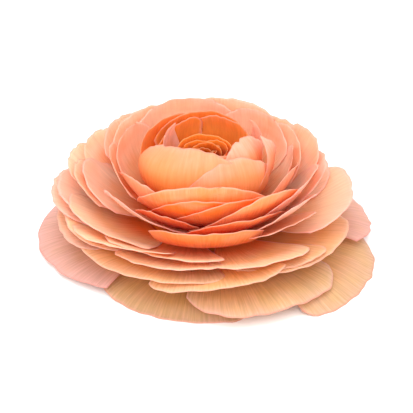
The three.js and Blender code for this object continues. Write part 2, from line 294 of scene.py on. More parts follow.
class MaterialNodes:
    """Adds nodes to one material."""

    def __init__(self, name: str) -> None:
        """Starts an empty material.

        Args:
            name: The material's name.
        """
        self.material = bpy.data.materials.new(name)
        self.material.use_nodes = True
        self.tree = self.material.node_tree
        self.tree.nodes.clear()

    def add(self, kind: str, settings: dict | None = None, **links: object) -> bpy.types.Node:
        """Adds one node.

        Args:
            kind: Blender's name for the node's type.
            settings: Properties to set on the node.
            **links: For each input, named with _ for a space or i and its index, a value or the
                output socket that feeds it.

        Returns:
            The new node.
        """
        node = self.tree.nodes.new(kind)
        for key, value in (settings or {}).items():
            setattr(node, key, value)
        for key, value in links.items():
            index = int(key[1:]) if key[0] == "i" and key[1:].isdigit() else key.replace("_", " ")
            socket = node.inputs[index]
            if isinstance(value, bpy.types.NodeSocket):
                self.tree.links.new(value, socket)
            else:
                socket.default_value = value
        return node


def ramp(node: bpy.types.Node, stops: list[tuple[float, str]], blend: Blend) -> None:
    """Sets a colour ramp's stops.

    Args:
        node: The Color Ramp node.
        stops: Places and sRGB hex colours, in order.
        blend: How the colours pass into each other.
    """
    band = node.color_ramp
    band.interpolation = blend.value
    while len(band.elements) < len(stops):
        band.elements.new(1.0)
    for element, (place, colour) in zip(band.elements, stops):
        element.position = place
        element.color = linear(colour)


@dataclass(frozen=True)
class PetalFinish:
    """The living tissue of one layer's petals, grown as a thin wet sheet.

    The eye sees a soft satin skin over light-filled tissue: it is deep orange at the claw, where
    petals lie close together, pales to pink at the rim, and carries fine veins that fan out from
    the claw. The deep orange is partly the tissue's own colour and partly painted shade, the glow
    of light held deep among the petals. Colours are sRGB hex, from the claw to the rim, for its
    warm and for its pink petals.
    """

    name: str
    warm: tuple[str, str, str, str, str]
    pink: tuple[str, str, str, str, str]
    edge: str
    veining: float = 0.5
    roughness: float = 0.5
    glow: float = 0.48

    def skin(self, make: MaterialNodes, place: Socket, veins: Socket) -> Socket:
        """Adds the colour of the tissue between the veins.

        Args:
            make: The material.
            place: The place on the petal, in millimetres.
            veins: How strong the veins are there.

        Returns:
            The colour.
        """
        share = make.add("ShaderNodeAttribute", {"attribute_name": "petal_share"})
        along = make.add("ShaderNodeSeparateXYZ", Vector=share.outputs["Vector"]).outputs["X"]
        blush_and_shade = make.add("ShaderNodeAttribute", {"attribute_name": "petal_blush_and_shade"})
        blush_and_shade_parts = make.add("ShaderNodeSeparateXYZ", Vector=blush_and_shade.outputs["Vector"])
        blush, deep = blush_and_shade_parts.outputs["X"], blush_and_shade_parts.outputs["Y"]

        # The claw's deep colour, partly painted shade, reaches up unevenly, further along the veins
        lift = make.add("ShaderNodeMath", {"operation": "MULTIPLY_ADD"},
                        i0=deep, i1=-DEEP_AND_SHADE_SHIFT, i2=DEEP_AND_SHADE_SHIFT / 2)
        streak = make.add("ShaderNodeMath", {"operation": "MULTIPLY_ADD"},
                          i0=veins, i1=STREAK_SHIFT, i2=-STREAK_SHIFT / 2)
        shifted = make.add("ShaderNodeMath", {"operation": "ADD"}, i0=along, i1=lift.outputs[0])
        level = make.add("ShaderNodeMath", {"operation": "ADD", "use_clamp": True},
                         i0=shifted.outputs[0], i1=streak.outputs[0])
        warm = make.add("ShaderNodeValToRGB", Fac=level.outputs[0])
        ramp(warm, list(zip(RAMP_PLACES, self.warm)), Blend.SOFT)
        pink = make.add("ShaderNodeValToRGB", Fac=level.outputs[0])
        ramp(pink, list(zip(RAMP_PLACES, self.pink)), Blend.SOFT)

        # In patches the tissue is a little pinker or warmer
        patches = make.add("ShaderNodeTexNoise", Vector=place, Scale=PATCH_SCALE, Detail=2.0)
        patch_shift = make.add("ShaderNodeMath", {"operation": "MULTIPLY_ADD"},
                               i0=patches.outputs["Fac"], i1=PATCH_SHIFT, i2=-PATCH_SHIFT / 2)
        blushing = make.add("ShaderNodeMath", {"operation": "ADD", "use_clamp": True},
                            i0=blush, i1=patch_shift.outputs[0])
        skin = make.add("ShaderNodeMix", {"data_type": "RGBA"}, Factor=blushing.outputs[0],
                        i6=warm.outputs["Color"], i7=pink.outputs["Color"])
        return skin.outputs[2]

    def vein(self, make: MaterialNodes, skin: Socket, veins: Socket, fine_veins: Socket) -> Socket:
        """Adds the veins, a little deeper in colour, and the pinker line along the rim.

        Args:
            make: The material.
            skin: The colour between the veins.
            veins: How strong the veins are.
            fine_veins: How strong the finer veins between them are.

        Returns:
            The petal's colour.
        """
        low, high = NOISE_SPAN
        vein_light = make.add("ShaderNodeMapRange", i0=veins, i1=low, i2=high,
                              i3=VEIN_LIGHT[0], i4=VEIN_LIGHT[1])
        fine_light = make.add("ShaderNodeMapRange", i0=fine_veins, i1=low, i2=high,
                              i3=FINE_LIGHT[0], i4=FINE_LIGHT[1])
        both = make.add("ShaderNodeMath", {"operation": "MULTIPLY"},
                        i0=vein_light.outputs[0], i1=fine_light.outputs[0])
        veined = make.add("ShaderNodeMix", {"data_type": "RGBA", "blend_type": "MULTIPLY"},
                          Factor=self.veining, i6=skin, i7=both.outputs[0])

        share = make.add("ShaderNodeAttribute", {"attribute_name": "petal_share"})
        to_edge = make.add("ShaderNodeSeparateXYZ", Vector=share.outputs["Vector"]).outputs["Y"]
        near_edge = make.add("ShaderNodeMapRange", i0=to_edge, i1=0.0, i2=RIM_LINE,
                             i3=RIM_LINE_SHARE, i4=0.0)
        coloured = make.add("ShaderNodeMix", {"data_type": "RGBA"}, Factor=near_edge.outputs[0],
                            i6=veined.outputs[2], i7=linear(self.edge))
        return coloured.outputs[2]

    def build(self) -> bpy.types.Material:
        """Makes the material. It reads the attributes that the petals carry.

        Returns:
            The material, part of whose light passes through the petal.
        """
        make = MaterialNodes(self.name)
        place = make.add("ShaderNodeAttribute", {"attribute_name": "petal_mm"}).outputs["Vector"]
        vein_space = make.add("ShaderNodeVectorMath", {"operation": "MULTIPLY"},
                              i0=place, i1=VEIN_STRETCH)
        veins = make.add("ShaderNodeTexNoise", Vector=vein_space.outputs["Vector"],
                         Scale=VEIN_SCALE, Detail=3.0, Roughness=0.6, Distortion=0.15).outputs["Fac"]
        fine_space = make.add("ShaderNodeVectorMath", {"operation": "MULTIPLY"},
                              i0=place, i1=FINE_STRETCH)
        fine_veins = make.add("ShaderNodeTexNoise", Vector=fine_space.outputs["Vector"],
                              Scale=1.0, Detail=2.0).outputs["Fac"]
        colour = self.vein(make, self.skin(make, place, veins), veins, fine_veins)

        height = make.add("ShaderNodeMath", {"operation": "MULTIPLY_ADD"},
                          i0=fine_veins, i1=FINE_RELIEF, i2=veins)
        bump = make.add("ShaderNodeBump", Strength=0.3, Distance=VEIN_RELIEF * MM,
                        Height=height.outputs[0]).outputs["Normal"]
        gloss = make.add("ShaderNodeMapRange", i0=veins, i1=NOISE_SPAN[0], i2=NOISE_SPAN[1],
                         i3=self.roughness + VEIN_GLOSS[0], i4=self.roughness + VEIN_GLOSS[1])
        surface = make.add("ShaderNodeBsdfPrincipled", Base_Color=colour,
                           Roughness=gloss.outputs[0], Normal=bump)
        # Watery tissue under a thin waxy skin
        surface.inputs["IOR"].default_value = 1.38
        surface.inputs["Specular IOR Level"].default_value = 0.3
        surface.inputs["Sheen Weight"].default_value = 0.06
        surface.inputs["Sheen Roughness"].default_value = 0.5
        through = make.add("ShaderNodeBsdfTranslucent", Color=colour, Normal=bump)
        tissue = make.add("ShaderNodeMixShader",
                          i1=surface.outputs["BSDF"], i2=through.outputs["BSDF"])
        tissue.inputs["Fac"].default_value = self.glow
        make.add("ShaderNodeOutputMaterial", Surface=tissue.outputs["Shader"])
        return make.material


@dataclass
class Layer:
    """One layer of the bloom: petals between two boundaries, on a cupped base.

    node is the CAD node's name, inside the index of the boundary on its inner side, and first the
    number of its first petal in the whole bloom. The base follows the midrib at base_level through
    base_stations, and its thickness lessens by the share base_taper towards its edge.
    """

    node: str
    inside: int
    first: int
    finish: PetalFinish
    petals: tuple[Petal, ...]
    base_level: float = 0.5
    base_thickness: float = 1.0
    base_stations: tuple[float, ...] = (0.0, 0.08, 0.15, 0.22, 0.3)
    base_taper: float = 0.6
    base_steps: int = 56

    def point(self, petal: Petal, place: tuple[float, float], index: int,
              u: float, v: float) -> tuple[float, ...]:
        """Gives a point of a petal's middle sheet.

        Args:
            petal: The petal.
            place: Its level and reach.
            index: Its number in the whole bloom, which sets how its rim waves.
            u: The place across it, -1 to 1.
            v: The place along it, 0 at the claw and 1 at the rim.

        Returns:
            x, y and z in millimetres from the bloom's axis, and its distance along the curve.
        """
        end = place[1] * petal.outline(u, index)
        t = mix(CLAW_START, end, v)
        r, z, dr, dz = curve_at(midrib(self.inside, place[0]), t)
        slope = math.hypot(dr, dz)
        width = mix(CLAW_SHARE, 1, 1 - (1 - v) ** 2)
        angle = math.radians(petal.az + petal.half * u * width)
        off = (RIM_WAVE * WAVES.at(u, index) * v ** WAVE_POWER
               + petal.belly * math.sin(math.pi * v)
               + RIM_FRILL * RUFFLES.at(u, index) * v ** FRILL_POWER
               + RIM_ROLL * v ** ROLL_POWER)
        r += off * dz / slope
        z = above_floor(z - off * dr / slope + petal.cant * u * v * v)
        return r * math.sin(angle), -r * math.cos(angle), z, t

    def add_petal(self, mesh: bmesh.types.BMesh, axis: Vector, petal: Petal, index: int) -> None:
        """Adds one petal to the layer's mesh.

        Args:
            mesh: The layer's mesh, with its attribute layers made.
            axis: The bloom's axis at the surface, in metres.
            petal: The petal.
            index: Its number in the whole bloom.
        """
        place = settle(self.inside, petal.rim)
        blade_mm = (place[1] - CLAW_START) * CURVE_LENGTH
        half_mm = math.radians(petal.half) * petal.rim[0]
        spot = mesh.verts.layers.float_vector["petal_mm"]
        share = mesh.verts.layers.float_vector["petal_share"]
        blush_and_shade = mesh.verts.layers.float_vector["petal_blush_and_shade"]
        grid = bmesh.ops.create_grid(mesh, x_segments=ACROSS, y_segments=ALONG, size=1.0)
        for vert in grid["verts"]:
            u, v = vert.co.x, (vert.co.y + 1) / 2
            x, y, z, t = self.point(petal, place, index, u, v)
            vert.co = axis + Vector((x, y, z)) * MM
            vert[spot] = (u * half_mm, t * CURVE_LENGTH, index * PATTERN_STEP)
            vert[share] = (v, min((1 - v) * blade_mm, (1 - abs(u)) * half_mm), 0.0)
            vert[blush_and_shade] = (petal.blush, petal.deep, 0.0)
        thicken(mesh, grid["verts"], PETAL_THICKNESS)

    def add_base(self, mesh: bmesh.types.BMesh, axis: Vector) -> None:
        """Adds the cupped base that the petals grow out of.

        Args:
            mesh: The layer's mesh, still empty, so that all its vertices are the base's.
            axis: The bloom's axis at the surface, in metres.
        """
        controls = midrib(self.inside, self.base_level)
        base_end = self.base_stations[-1]
        profile = []
        for side, stations in ((1, self.base_stations), (-1, self.base_stations[::-1])):
            for t in stations:
                r, z, dr, dz = curve_at(controls, t)
                slope = math.hypot(dr, dz)
                off = side * self.base_thickness / 2 * (1 - self.base_taper * t / base_end)
                profile.append((r + off * dz / slope, z - off * dr / slope))
        turn(mesh, profile, axis, self.base_steps)
        share = mesh.verts.layers.float_vector["petal_share"]
        blush_and_shade = mesh.verts.layers.float_vector["petal_blush_and_shade"]
        # The base takes the claws' full deep colour, partly painted shade, and no rim line
        for vert in mesh.verts:
            vert[share] = (0.0, BASE_EDGE, 0.0)
            vert[blush_and_shade] = (0.0, 1.0, 0.0)

    def build(self, axis: Vector) -> bpy.types.Object:
        """Makes the layer's piece.

        Args:
            axis: The bloom's axis at the surface, in metres.

        Returns:
            The piece, dressed and named.
        """
        mesh = bmesh.new()
        for name in ("petal_mm", "petal_share", "petal_blush_and_shade"):
            mesh.verts.layers.float_vector.new(name)
        self.add_base(mesh, axis)
        for number, petal in enumerate(self.petals):
            self.add_petal(mesh, axis, petal, self.first + number)
        return piece(self.node, mesh, self.finish.build())


def thicken(mesh: bmesh.types.BMesh, verts: list[bmesh.types.BMVert], thickness: float) -> None:
    """Gives a sheet its thickness, with its faces outwards.

    Args:
        mesh: The mesh that holds the sheet.
        verts: The sheet's vertices.
        thickness: Its thickness in millimetres.
    """
    sheet = {face for vert in verts for face in vert.link_faces}
    others = set(mesh.faces) - sheet
    bmesh.ops.solidify(mesh, geom=list(sheet), thickness=thickness * MM)
    # Solidify leaves the shell inside out
    bmesh.ops.reverse_faces(mesh, faces=[face for face in mesh.faces if face not in others])


def turn(mesh: bmesh.types.BMesh, profile: list[tuple[float, float]], axis: Vector,
         steps: int) -> None:
    """Turns a closed profile about the bloom's axis.

    Args:
        mesh: The mesh to add to.
        profile: Points in (radius, height), in millimetres, round the section.
        axis: The bloom's axis at the surface, in metres.
        steps: Faces round the turn.
    """
    ring = [mesh.verts.new(axis + Vector((0, -r, z)) * MM) for r, z in profile]
    edges = [mesh.edges.new((a, b)) for a, b in zip(ring, ring[1:] + ring[:1])]
    bmesh.ops.spin(mesh, geom=ring + edges, cent=axis, axis=(0, 0, 1), angle=math.tau,
                   steps=steps, use_merge=True)
    faces = list({face for vert in ring for face in vert.link_faces})
    grown = set(faces)
    while faces:
        face = faces.pop()
        for edge in face.edges:
            for other in edge.link_faces:
                if other not in grown:
                    grown.add(other)
                    faces.append(other)
    points = {vert for face in grown for vert in face.verts}
    bmesh.ops.remove_doubles(mesh, verts=list(points), dist=WELD * MM)
    bmesh.ops.recalc_face_normals(mesh, faces=[f for f in grown if f.is_valid])


def piece(name: str, mesh: bmesh.types.BMesh, material: bpy.types.Material) -> bpy.types.Object:
    """Makes an object that stands for a CAD node.

    Args:
        name: The CAD node's name.
        mesh: The finished mesh, which is freed here.
        material: Its material.

    Returns:
        The object, riding on the only body.
    """
    data = bpy.data.meshes.new(f"{name}_fine")
    mesh.to_mesh(data)
    mesh.free()
    data.polygons.foreach_set("use_smooth", [True] * len(data.polygons))
    data.materials.append(material)
    made = bpy.data.objects.new(f"{name}_fine", data)
    bpy.context.scene.collection.objects.link(made)
    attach(made, "root")
    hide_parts(name)
    return made


@dataclass(frozen=True)
class GreenFinish:
    """Living green stem and sepal tissue: matt, slightly waxy, in paler and darker streaks."""

    name: str = "green_sepal_tissue_grown"
    deep: str = "4f6a2c"
    light: str = "93a95a"
    streaks: tuple[float, float, float] = (650.0, 650.0, 120.0)     # 1.5 mm wide and 8 mm tall

    def build(self) -> bpy.types.Material:
        """Makes the material: dull mid green that pales in streaks along the stem."""
        make = MaterialNodes(self.name)
        place = make.add("ShaderNodeTexCoord")
        stretched = make.add("ShaderNodeMapping", Vector=place.outputs["Object"],
                             Scale=self.streaks)
        streaks = make.add("ShaderNodeTexNoise", Vector=stretched.outputs["Vector"],
                           Scale=1.0, Detail=3.0)
        colour = make.add("ShaderNodeValToRGB", Fac=streaks.outputs["Fac"])
        ramp(colour, [(0.3, self.deep), (0.7, self.light)], Blend.EVEN)
        bump = make.add("ShaderNodeBump", Strength=0.3, Distance=0.2 * MM,
                        Height=streaks.outputs["Fac"])
        shader = make.add("ShaderNodeBsdfPrincipled", Base_Color=colour.outputs["Color"],
                          Normal=bump.outputs["Normal"])
        shader.inputs["Roughness"].default_value = 0.6
        shader.inputs["Subsurface Weight"].default_value = 0.15
        shader.inputs["Subsurface Scale"].default_value = 0.8 * MM
        make.add("ShaderNodeOutputMaterial", Surface=shader.outputs["BSDF"])
        return make.material


@dataclass(frozen=True)
class SeedFinish:
    """Dark seed head: matt brown with small paler spots."""

    name: str = "dark_seed_head_grown"
    deep: str = "2c130a"
    light: str = "7a4420"
    mottle: float = 1800.0          # spots some 0.6 mm wide

    def build(self) -> bpy.types.Material:
        """Makes the material: dark brown with small paler spots."""
        make = MaterialNodes(self.name)
        place = make.add("ShaderNodeTexCoord")
        mottle = make.add("ShaderNodeTexNoise", Vector=place.outputs["Object"],
                          Scale=self.mottle, Detail=2.0)
        colour = make.add("ShaderNodeValToRGB", Fac=mottle.outputs["Fac"])
        ramp(colour, [(0.35, self.deep), (0.7, self.light)], Blend.EVEN)
        shader = make.add("ShaderNodeBsdfPrincipled", Base_Color=colour.outputs["Color"])
        shader.inputs["Roughness"].default_value = 0.7
        make.add("ShaderNodeOutputMaterial", Surface=shader.outputs["BSDF"])
        return make.material


@dataclass
class Calyx:
    """The receptacle with its stem stub and folded-back sepals.

    A sepal's half width is claw_half at its claw and swells by swell further out; the nearer
    swell_turn is to 1, the more it narrows again. Its tip is rounded by tip_round of its length,
    its sides hang by droop, and a ridge runs along its middle.
    """

    sepals: int = 5
    first_azimuth: float = 36.0
    sepal_thickness: float = 0.6
    sepal_across: int = 12
    sepal_along: int = 20
    claw_half: float = 2.2
    swell: float = 2.3
    swell_turn: float = 0.8
    tip_round: float = 0.22
    droop: float = 0.5
    ridge: float = 0.25
    ridge_width: float = 0.18
    steps: int = 40
    midrib: Curve = ((3.4, 2.6), (8.5, 3.6), (14.0, 4.2), (17.5, 1.8))
    profile: Curve = (
        (0.0, 0.5), (2.3, 0.5), (2.6, 0.7), (2.6, 1.6), (4.6, 2.8), (5.9, 4.2), (6.0, 5.2), (5.65, 7.4),
        (5.2, 9.6), (4.6, 11.8), (3.7, 14.2), (2.5, 16.6), (1.2, 18.9), (0.0, 19.2))

    def add_sepal(self, mesh: bmesh.types.BMesh, axis: Vector, azimuth: float) -> None:
        """Adds one sepal.

        Args:
            mesh: The piece's mesh.
            axis: The bloom's axis at the surface, in metres.
            azimuth: The sepal's direction in radians from the front.
        """
        grid = bmesh.ops.create_grid(
            mesh, x_segments=self.sepal_across, y_segments=self.sepal_along, size=1.0)
        for vert in grid["verts"]:
            u, v = vert.co.x, (vert.co.y + 1) / 2
            r, z, _, _ = curve_at(self.midrib, v * (1 - self.tip_round * u * u))
            across = u * (self.claw_half + self.swell * math.sin(math.pi * v * self.swell_turn))
            z += (self.ridge * math.exp(-(u / self.ridge_width) ** 2) - self.droop * u * u) * v
            vert.co = axis + Vector((
                r * math.sin(azimuth) + across * math.cos(azimuth),
                -r * math.cos(azimuth) + across * math.sin(azimuth), z)) * MM
        thicken(mesh, grid["verts"], self.sepal_thickness)

    def build(self, axis: Vector) -> bpy.types.Object:
        """Makes the piece.

        Args:
            axis: The bloom's axis at the surface, in metres.

        Returns:
            The dressed piece.
        """
        mesh = bmesh.new()
        turn(mesh, list(self.profile), axis, self.steps)
        for number in range(self.sepals):
            azimuth = math.radians(self.first_azimuth) + math.tau * number / self.sepals
            self.add_sepal(mesh, axis, azimuth)
        return piece("stem_and_calyx", mesh, GreenFinish().build())


@dataclass
class SeedHead:
    """The dark seed head: a spindle of pistils with pointed tips.

    The pistils stand in rows from low to high, each one lean further out at its tip. The top row
    lies closer to the axis by the share narrowing.
    """

    rows: int = 9
    around: int = 8
    low: float = 23.4
    high: float = 30.4
    radius: float = 1.0
    narrowing: float = 0.35
    lean: float = 0.25
    pistil_sides: int = 6
    pistil_foot: float = 0.3
    pistil_tip: float = 0.05
    pistil_length: float = 0.9
    steps: int = 24
    profile: Curve = (
        (0.0, 19.7), (0.3, 19.7), (0.35, 20.8), (0.8, 22.4), (1.0, 24.4), (1.0, 28.4),
        (0.7, 30.2), (0.0, 31.0))

    def add_pistil(self, mesh: bmesh.types.BMesh, axis: Vector, rise_share: float,
                   turned: float) -> None:
        """Adds one pistil.

        Args:
            mesh: The piece's mesh.
            axis: The bloom's axis at the surface, in metres.
            rise_share: How far up the seed head it stands, from 0 to 1.
            turned: Its direction in radians from the front.
        """
        cone = bmesh.ops.create_cone(
            mesh, cap_ends=True, segments=self.pistil_sides, radius1=self.pistil_foot * MM,
            radius2=self.pistil_tip * MM, depth=self.pistil_length * MM)
        height = mix(self.low, self.high, rise_share) * MM
        radius = self.radius * (1 - self.narrowing * rise_share) * MM
        for vert in cone["verts"]:
            rise, out, side = vert.co.z, vert.co.x, vert.co.y
            reach = radius + out + self.lean * rise
            vert.co = axis + Vector((
                reach * math.sin(turned) + side * math.cos(turned),
                -reach * math.cos(turned) + side * math.sin(turned),
                height + rise))

    def build(self, axis: Vector) -> bpy.types.Object:
        """Makes the piece.

        Args:
            axis: The bloom's axis at the surface, in metres.

        Returns:
            The dressed piece.
        """
        mesh = bmesh.new()
        turn(mesh, list(self.profile), axis, self.steps)
        for row in range(self.rows):
            for number in range(self.around):
                turned = math.tau * (number + 0.5 * (row % 2)) / self.around
                self.add_pistil(mesh, axis, row / (self.rows - 1), turned)
        return piece("carpel_head", mesh, SeedFinish().build())


@dataclass(frozen=True)
class SoftLight:
    """One soft square light that faces the bloom, placed in metres and rated in watts."""

    name: str
    spot: tuple[float, float, float]
    power: float
    side: float = 0.6
    aim: tuple[float, float, float] = (0.0, 0.0, 0.02)

    def build(self) -> None:
        """Hangs the light."""
        data = bpy.data.lights.new(self.name, "AREA")
        data.size = self.side
        data.energy = self.power
        light = bpy.data.objects.new(self.name, data)
        light.location = self.spot
        away = Vector(self.spot) - Vector(self.aim)
        light.rotation_euler = (-away).to_track_quat("-Z", "Y").to_euler()
        bpy.context.scene.collection.objects.link(light)


@dataclass
class Studio:
    """Camera, pale floor and soft light.

    Most of the light comes evenly from all sides, as in the photograph, where no petal throws a
    hard shadow. sky is its strength.
    """

    floor_side: float = 6.0
    paper: str = "f7f6f4"
    near_clip: float = 0.02
    sky: float = 1.68
    gamma: float = 1.1
    lights: tuple[SoftLight, ...] = (
        SoftLight("overhead", (-0.1, -0.12, 1.0), 3.2),
        SoftLight("front", (-0.06, -0.8, 0.6), 4.8))

    def build_camera(self, axis: Vector) -> None:
        """Places the camera as the photograph's was.

        Args:
            axis: The bloom's axis at the surface, in metres.
        """
        data = bpy.data.cameras.new("camera")
        data.sensor_width = SENSOR
        data.lens = SENSOR * CAMERA_DISTANCE / VIEW_WIDTH
        data.clip_start = self.near_clip
        camera = bpy.data.objects.new("camera", data)
        tilt = math.radians(CAMERA_ELEVATION)
        aim = axis + Vector(CAMERA_AIM) * MM
        away = Vector((0, -math.cos(tilt), math.sin(tilt)))
        camera.location = aim + away * CAMERA_DISTANCE * MM
        camera.rotation_euler = (-away).to_track_quat("-Z", "Y").to_euler()
        bpy.context.scene.collection.objects.link(camera)
        bpy.context.scene.camera = camera

    def build_floor(self) -> None:
        """Lays a sheet of matt white paper that meets the bloom at height zero."""
        mesh = bmesh.new()
        bmesh.ops.create_grid(mesh, x_segments=1, y_segments=1, size=self.floor_side / 2)
        data = bpy.data.meshes.new("floor")
        mesh.to_mesh(data)
        mesh.free()
        make = MaterialNodes("matt_white_paper")
        shader = make.add("ShaderNodeBsdfPrincipled")
        shader.inputs["Base Color"].default_value = linear(self.paper)
        shader.inputs["Roughness"].default_value = 0.9
        shader.inputs["Specular IOR Level"].default_value = 0.1
        make.add("ShaderNodeOutputMaterial", Surface=shader.outputs["BSDF"])
        data.materials.append(make.material)
        floor = bpy.data.objects.new("floor", data)
        bpy.context.scene.collection.objects.link(floor)

    def build_sky(self) -> None:
        """Adds the even white light and sets how the picture shows light."""
        scene = bpy.context.scene
        world = bpy.data.worlds.new("studio")
        world.use_nodes = True
        background = world.node_tree.nodes["Background"]
        background.inputs["Color"].default_value = (1, 1, 1, 1)
        background.inputs["Strength"].default_value = self.sky
        scene.world = world
        scene.view_settings.view_transform = "Standard"
        scene.view_settings.gamma = self.gamma

    def build(self, axis: Vector) -> None:
        """Sets up camera, floor and light.

        Args:
            axis: The bloom's axis at the surface, in metres.
        """
        self.build_camera(axis)
        self.build_floor()
        for light in self.lights:
            light.build()
        self.build_sky()


# The heart's claws darken to brown: partly their own colour and partly painted shade in the heart's
# hollow
HEART_FINISH = PetalFinish(
    "ranunculus_petal_orange_heart",
    warm=("7a2a08", "dc5c10", "f48420", "faa444", "fcb870"),
    pink=("7a2a08", "dc5c10", "f4882c", "faa854", "fcbc7c"),
    edge="fcc488", veining=0.4)
CUP_FINISH = PetalFinish(
    "ranunculus_petal_apricot_cup",
    warm=("f8882c", "f89a40", "faa45e", "f9a973", "f8ae80"),
    pink=("fc8832", "fc9a5a", "fbae82", "fcc1a6", "fdcebb"),
    edge="fcc1a8", veining=0.6)
UPPER_FINISH = PetalFinish(
    "ranunculus_petal_coral_bowl",
    warm=("fe6811", "fd7d20", "fc8f37", "fb9e56", "faab6f"),
    pink=("fe9a48", "fdc894", "fcd4b2", "fccfb0", "fccdb6"),
    edge="fec5b0", veining=0.6)
LOWER_FINISH = PetalFinish(
    "ranunculus_petal_salmon_bowl",
    warm=("f6560c", "fb8730", "fca559", "fbb475", "fab786"),
    pink=("fe8028", "fdc494", "fcd6ba", "fbccb0", "fac8b4"),
    edge="fcbcae", veining=0.7)
SPREADING_FINISH = PetalFinish(
    "ranunculus_petal_peach_spreading",
    warm=("fe7414", "fdba6e", "fcd3a2", "fbcea6", "facaac"),
    pink=("fe7c24", "fdc294", "fcd6ba", "fbccb2", "fac8b4"),
    edge="fcb8ac", veining=0.8)
# A little darker and browner than the spreading petals: partly the low petals' own tone and partly
# painted shade from the petals over them
LOW_FINISH = PetalFinish(
    "ranunculus_petal_peach_low",
    warm=("e67e2a", "ea923e", "ecaa5c", "eeb97a", "f0c492"),
    pink=("e88444", "eaa06e", "ecb28c", "ecbaa0", "ecbca8"),
    edge="f4b8a2", veining=0.9)
SKIRT_FINISH = PetalFinish(
    "ranunculus_petal_ochre_skirt",
    warm=("d98441", "de974b", "e4ab66", "e6ba82", "e6be96"),
    pink=("e0824a", "e6986c", "e8aa8c", "e6b2a0", "e6b2a6"),
    edge="ea988a", veining=1.0)


